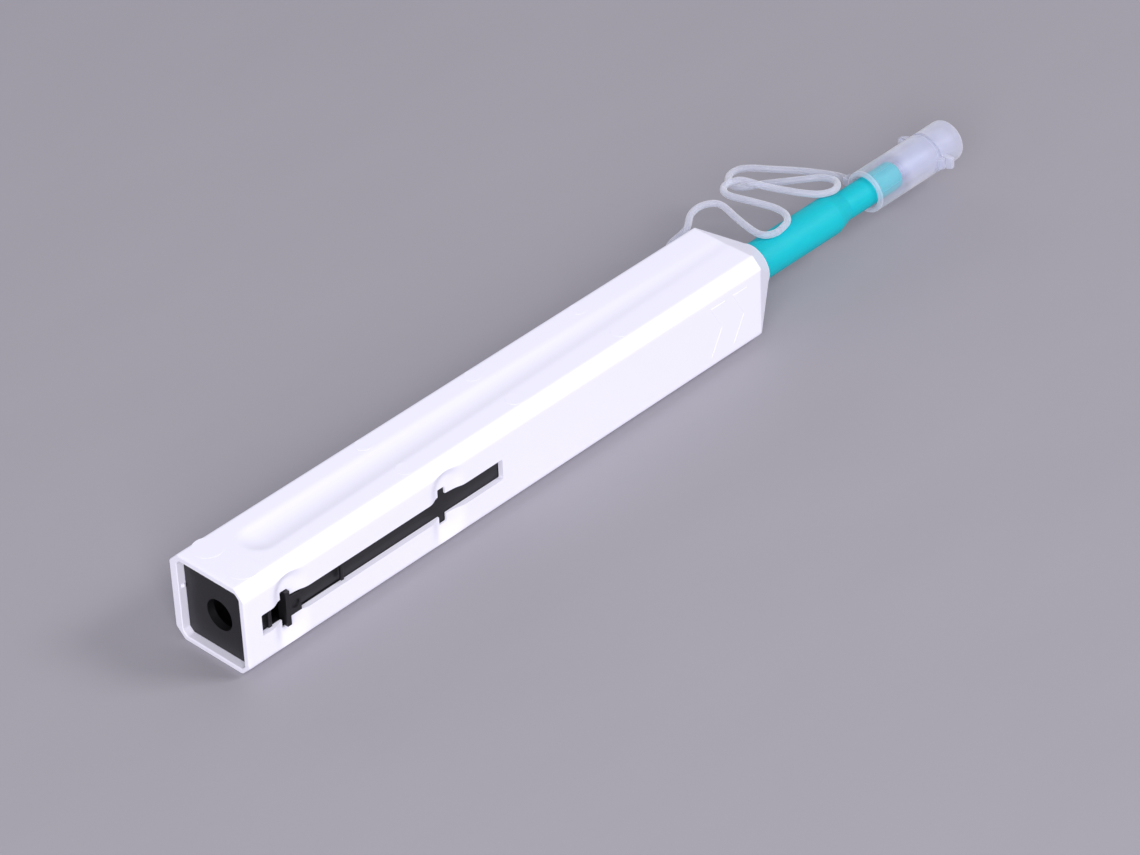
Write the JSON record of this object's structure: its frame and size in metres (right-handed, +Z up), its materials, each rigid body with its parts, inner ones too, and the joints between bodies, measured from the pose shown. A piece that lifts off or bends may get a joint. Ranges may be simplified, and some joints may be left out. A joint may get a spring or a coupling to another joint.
{
  "type": "fibre optic cleaning pen",
  "caption": "Square pen with a sliding core, side latch, sprung nozzle that winds cleaning thread and turns its tip, and a tethered flip-lid cap.",
  "frame": {"origin": "middle of the casing's flat underside", "axes": "+X along the pen from the open rear end to the tip, +Z up, the slotted side faces -Y"},
  "size_m": [0.2003, 0.0335, 0.019],
  "materials": {
    "casing_white": "satin moulded plastic",
    "core_black": "satin moulded plastic",
    "inner_white": "moulded plastic",
    "nozzle_teal": "satin moulded plastic",
    "tip_white": "moulded plastic",
    "cap_clear": "translucent moulded plastic",
    "steel": "drawn steel",
    "thread": "fine microfibre thread"
  },
  "bodies": {
    "casing": {"outer_casing": "casing_white", "tether_plug": "cap_clear", "tether_root": "cap_clear"},
    "core": {"core_frame": "core_black", "core_cover": "core_black", "guide_bush": "inner_white", "reel_axles": "steel", "supply_brake": "steel", "ratchet_pawl": "inner_white", "thread_guide": "steel", "feed_thread": "thread", "return_thread": "thread", "main_spring": "steel", "helix_pin": "steel", "tether_mid": "cap_clear"},
    "latch": {"lock_latch": "core_black"},
    "supply": {"supply_reel": "inner_white", "supply_wind": "thread"},
    "takeup": {"takeup_reel": "inner_white", "takeup_wind": "thread", "drive_gear": "inner_white"},
    "nozzle": {"nozzle_sleeve": "nozzle_teal", "guide_tip": "tip_white", "drive_rack": "inner_white", "tether_end": "cap_clear"},
    "tip": {"tip_shaft": "inner_white", "tip_spring": "steel", "cleaning_head": "tip_white", "tip_thread": "thread"},
    "cap": {"cap_tube": "cap_clear"},
    "lid": {"cap_lid": "cap_clear"}
  },
  "joints": [
    {"name": "core_slide", "type": "slide", "parent": "casing", "child": "core", "axis": [1, 0, 0], "range_m": [0, 0.039], "deforming": ["lock_latch", "tether_root"]},
    {"name": "latch_press", "type": "hinge", "parent": "core", "child": "latch", "pos_m": [-0.0428, -0.0076, 0.0096], "axis": [0, 0, -1], "range_deg": [0, 5.5], "stiffness_Nm_per_rad": 0.15, "springref_deg": -1.15},
    {"name": "nozzle_press", "type": "slide", "parent": "core", "child": "nozzle", "axis": [-1, 0, 0], "range_m": [0, 0.01], "stiffness_N_per_m": 250, "springref_m": -0.01, "deforming": ["tether_mid", "main_spring", "feed_thread", "return_thread", "ratchet_pawl"]},
    {"name": "tip_turn", "type": "hinge", "parent": "nozzle", "child": "tip", "pos_m": [0, 0, 0.0095], "axis": [1, 0, 0], "range_deg": [0, 181]},
    {"name": "takeup_turn", "type": "hinge", "parent": "core", "child": "takeup", "pos_m": [-0.0271, 0, 0.0095], "axis": [0, -1, 0], "range_deg": [0, 115], "deforming": ["ratchet_pawl"]},
    {"name": "supply_turn", "type": "hinge", "parent": "core", "child": "supply", "pos_m": [-0.0406, 0, 0.0095], "axis": [0, 1, 0], "range_deg": [0, 69]},
    {"name": "cap_pull", "type": "slide", "parent": "nozzle", "child": "cap", "axis": [1, 0, 0], "range_m": [0, 0.026], "deforming": ["tether_end"]},
    {"name": "lid_flip", "type": "hinge", "parent": "cap", "child": "lid", "pos_m": [0.12615, 0.0065, 0.0095], "axis": [0, 0, 1], "range_deg": [0, 120]}
  ],
  "couplings": [
    {"joint": "tip_turn", "follows": "nozzle_press", "rad_per_m": 314.16},
    {"joint": "takeup_turn", "follows": "nozzle_press", "rad_per_m": 200},
    {"joint": "supply_turn", "follows": "nozzle_press", "rad_per_m": 119.3}
  ]
}
